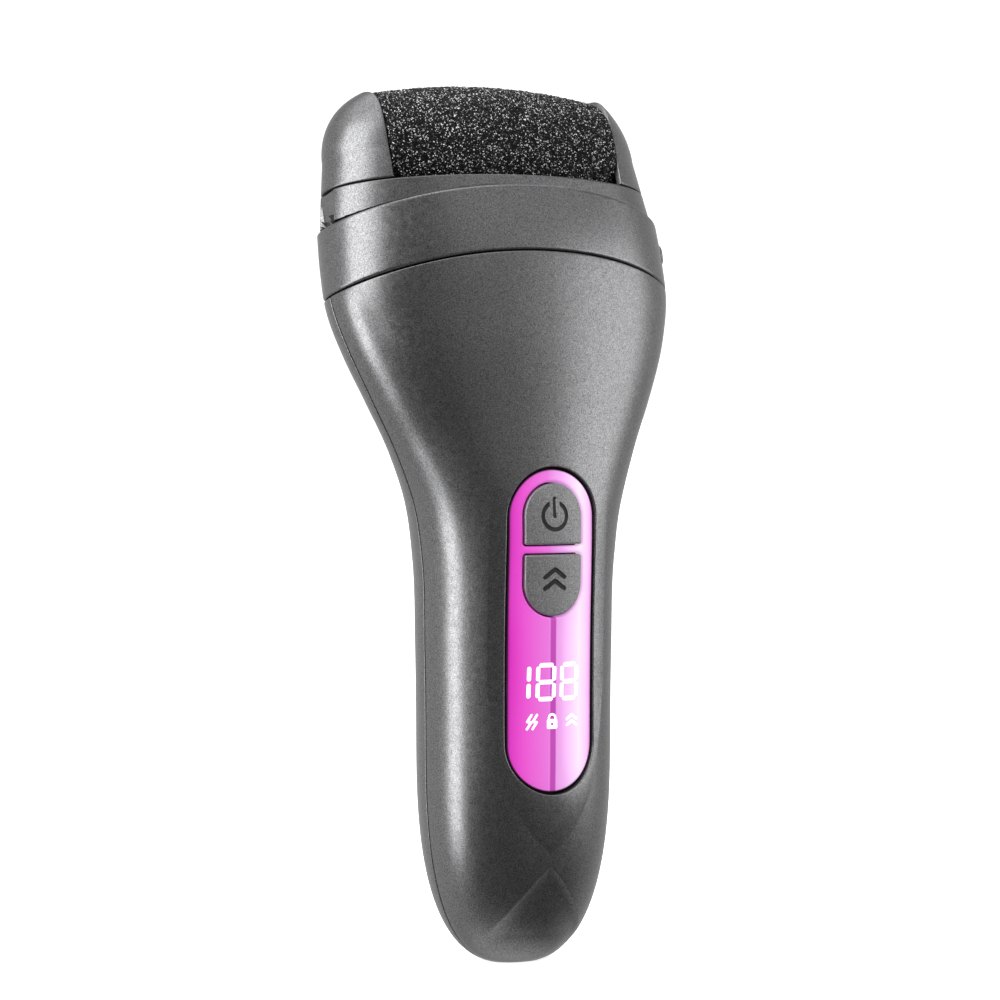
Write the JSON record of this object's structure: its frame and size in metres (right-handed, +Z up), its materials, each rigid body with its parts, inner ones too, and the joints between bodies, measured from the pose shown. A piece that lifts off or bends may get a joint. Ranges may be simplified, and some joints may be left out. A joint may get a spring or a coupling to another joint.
{
  "type": "electric callus remover",
  "caption": "Cordless handheld foot file: handle with a wide leaning neck, pill-shaped display with push buttons, and a lift-off head whose crowned abrasive roller turns through gears.",
  "frame": {"origin": "centre of the small flat under the rounded tail, on the axis of the straight part of the handle", "axes": "+Z up along the handle towards the head, -Y the front with the display and buttons, +X to the right seen from the front"},
  "size_m": [0.0723, 0.0425, 0.1658],
  "materials": {
    "body_shell": "fine-grained dark grey metallic paint",
    "button_cap": "fine sandblasted grey",
    "display_lens": "glossy magenta window",
    "led_block": "white seven-segment block",
    "black_plastic": "moulded black",
    "silicone": "soft dark silicone",
    "circuit_board": "green solder mask",
    "cell_wrap": "blue shrink wrap",
    "steel": "bright steel",
    "brass": "machined",
    "gear_nylon": "natural nylon",
    "grit_sleeve": "black mineral grit with bright specks"
  },
  "bodies": {
    "handle": {"front_shell": "body_shell", "rear_shell": "body_shell", "collar": "body_shell", "display_lens": "display_lens", "lens_carrier": "black_plastic", "button_membrane": "silicone", "upper_tact_switch": "black_plastic", "lower_tact_switch": "black_plastic", "digit_display": "led_block", "display_board": "circuit_board", "battery_cell": "cell_wrap", "battery_cradle": "black_plastic", "charge_board": "circuit_board", "usb_socket": "steel", "deck_plate": "black_plastic", "deck_screw_1": "steel", "deck_screw_2": "steel", "deck_screw_3": "steel", "deck_screw_4": "steel", "latch_spring": "steel", "motor_can": "steel", "motor_end_cap": "black_plastic", "motor_bracket": "steel", "motor_screw_1": "steel", "motor_screw_2": "steel", "gear_plate": "steel", "reduction_axle": "steel"},
    "head": {"head_base": "body_shell", "left_cheek": "body_shell", "right_cheek": "body_shell", "left_bearing_plate": "black_plastic", "right_bearing_plate": "black_plastic", "dust_tray": "black_plastic", "idler_pin": "steel", "pivot_pin": "steel"},
    "roller": {"abrasive_sleeve": "grit_sleeve", "roller_core": "black_plastic", "left_roller_cap": "black_plastic", "right_roller_cap": "black_plastic", "roller_gear": "gear_nylon", "drive_spindle": "steel"},
    "idler": {"idler_gear": "gear_nylon"},
    "drive_shaft": {"drive_axle": "steel", "drive_gear": "gear_nylon", "output_gear": "gear_nylon"},
    "reduction": {"reduction_gear": "gear_nylon"},
    "motor_rotor": {"motor_shaft": "steel", "motor_pinion": "brass"},
    "power_key": {"power_button": "button_cap"},
    "boost_key": {"boost_button": "button_cap"},
    "release_key": {"release_button": "body_shell", "latch_arm": "steel"},
    "port_flap": {"port_cover": "silicone"}
  },
  "joints": [
    {"name": "head_lift_off", "type": "slide", "parent": "handle", "child": "head", "axis": [0, 0.2588, 0.9659], "range_m": [0, 0.03]},
    {"name": "roller_spin", "type": "hinge", "parent": "head", "child": "roller", "pos_m": [0, 0.01371, 0.15239], "axis": [1, 0, 0], "continuous": true},
    {"name": "idler_spin", "type": "hinge", "parent": "head", "child": "idler", "pos_m": [0, 0.01043, 0.14245], "axis": [1, 0, 0], "continuous": true},
    {"name": "drive_spin", "type": "hinge", "parent": "handle", "child": "drive_shaft", "pos_m": [0, 0.00688, 0.12921], "axis": [1, 0, 0], "continuous": true},
    {"name": "reduction_spin", "type": "hinge", "parent": "handle", "child": "reduction", "pos_m": [0, 0.00468, 0.121], "axis": [1, 0, 0], "continuous": true},
    {"name": "motor_spin", "type": "hinge", "parent": "handle", "child": "motor_rotor", "pos_m": [0, 0.00246, 0.1127], "axis": [1, 0, 0], "continuous": true},
    {"name": "power_press", "type": "slide", "parent": "handle", "child": "power_key", "axis": [0, 1, 0], "range_m": [0, 0.0005], "stiffness_N_per_m": 600},
    {"name": "boost_press", "type": "slide", "parent": "handle", "child": "boost_key", "axis": [0, 1, 0], "range_m": [0, 0.0005], "stiffness_N_per_m": 600},
    {"name": "release_press", "type": "slide", "parent": "handle", "child": "release_key", "axis": [-1, 0, 0], "range_m": [0, 0.001], "stiffness_N_per_m": 900},
    {"name": "port_cover_hinge", "type": "hinge", "parent": "handle", "child": "port_flap", "pos_m": [0, 0.0148, 0.0281], "axis": [1, 0, 0], "range_deg": [0, 110], "stiffness_Nm_per_rad": 0.001}
  ],
  "couplings": [
    {"joint": "idler_spin", "follows": "roller_spin", "ratio": -0.85714},
    {"joint": "drive_spin", "follows": "roller_spin", "ratio": 0.6},
    {"joint": "reduction_spin", "follows": "roller_spin", "ratio": -1.08},
    {"joint": "motor_spin", "follows": "roller_spin", "ratio": 2.592}
  ]
}
